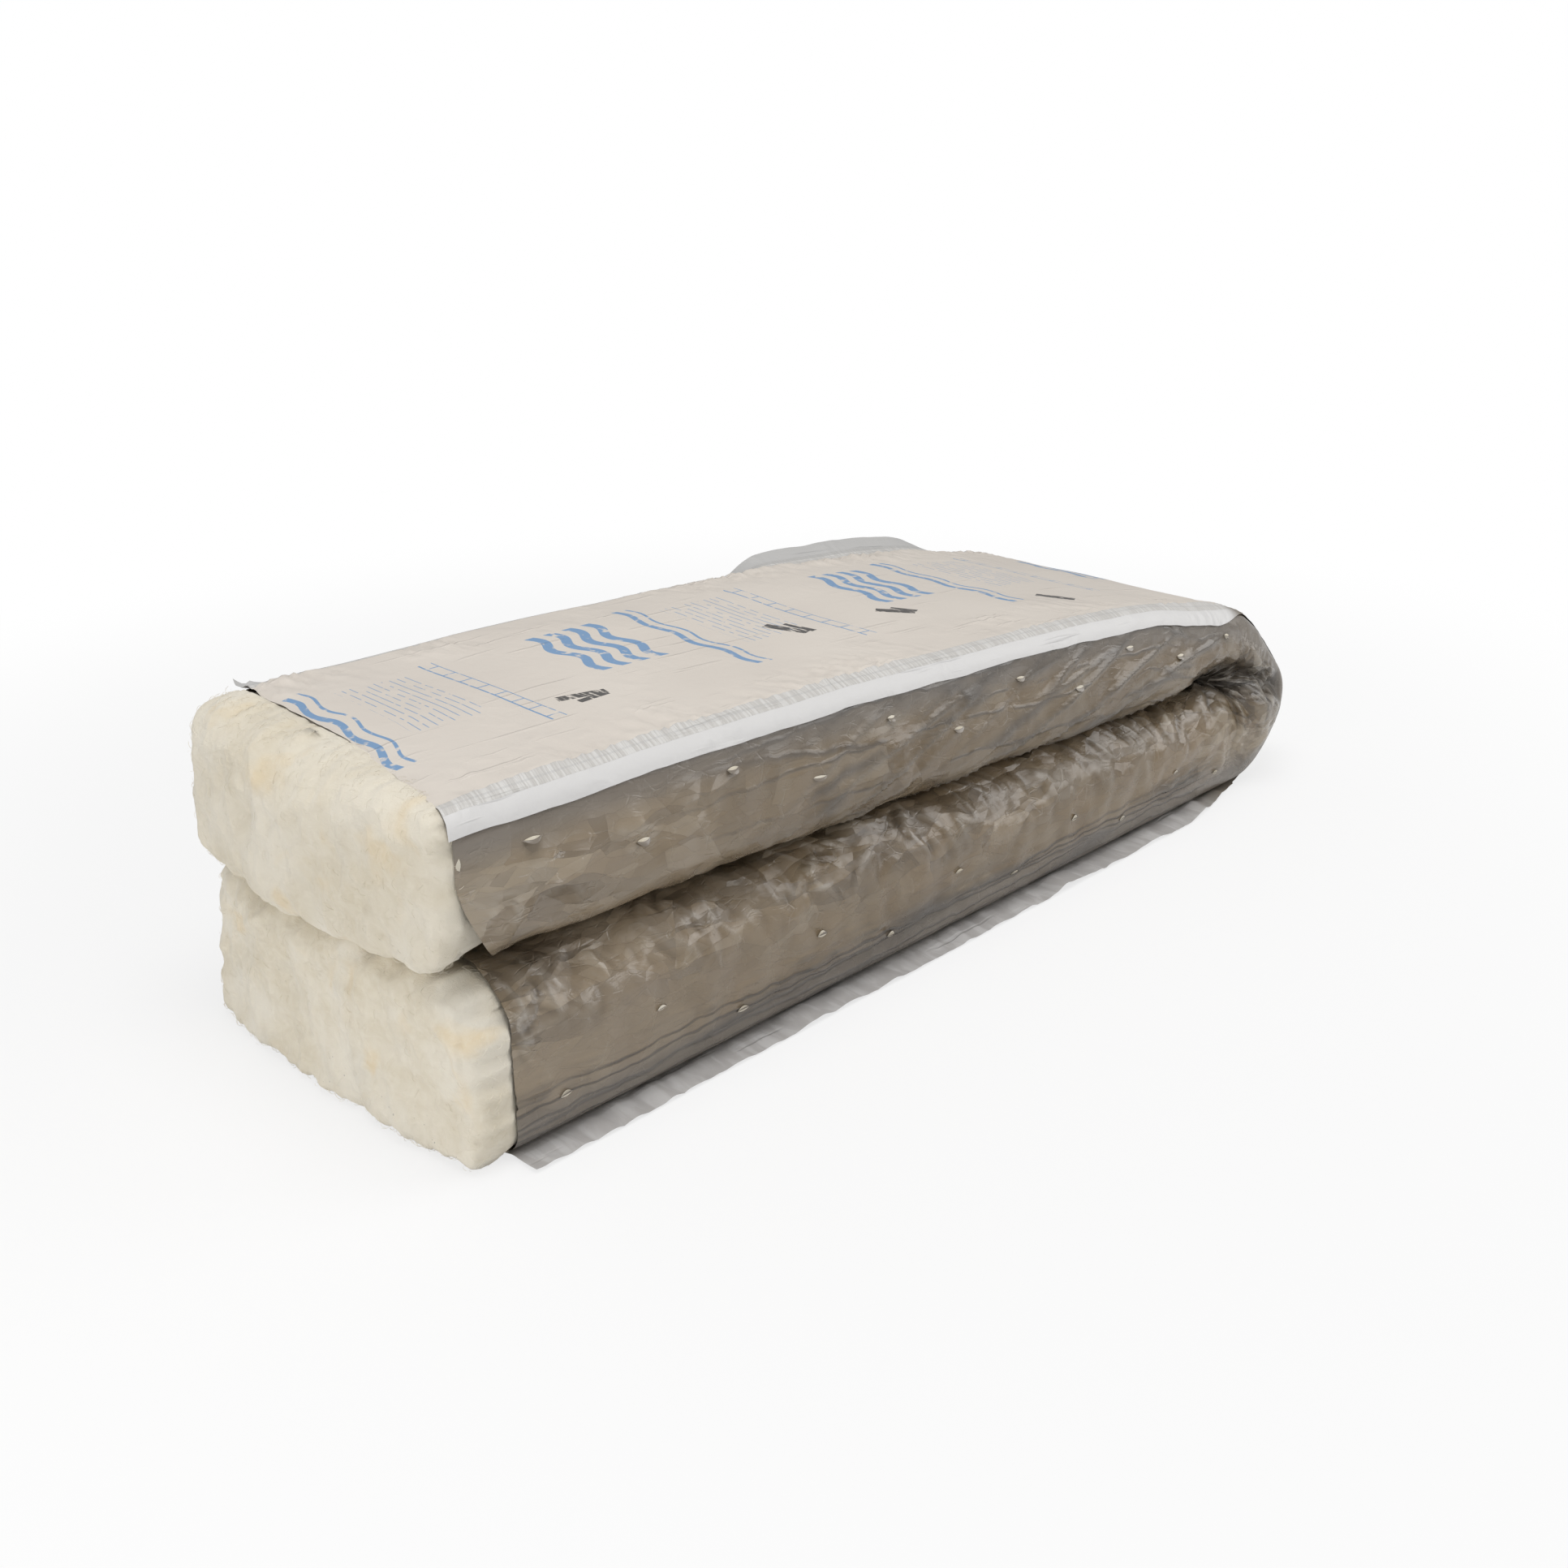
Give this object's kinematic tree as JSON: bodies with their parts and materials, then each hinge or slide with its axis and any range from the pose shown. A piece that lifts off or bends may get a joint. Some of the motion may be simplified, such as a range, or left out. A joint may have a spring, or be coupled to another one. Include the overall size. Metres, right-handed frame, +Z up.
{
  "type": "fiberglass insulation batt",
  "caption": "Film-wrapped fiberglass insulation batt laid down folded double, with a flanged white facing outside, a slit grey wrap on its sides and bare wool at its cut ends.",
  "frame": {"origin": "on the floor, under the middle of the folded batt's box", "axes": "+X from the cut ends to the fold, +Y across the batt, +Z up"},
  "size_m": [1.1809, 0.4004, 0.297],
  "materials": {
    "glass_wool": "soft, fibrous and matt",
    "wrap_film": "thin grey film, wrinkled and glossy",
    "facing_film": "thin white film, satin, printed"
  },
  "bodies": {
    "root": {"glass_wool": "glass_wool", "wrap_film": "wrap_film", "facing_film": "facing_film"}
  },
  "joints": []
}
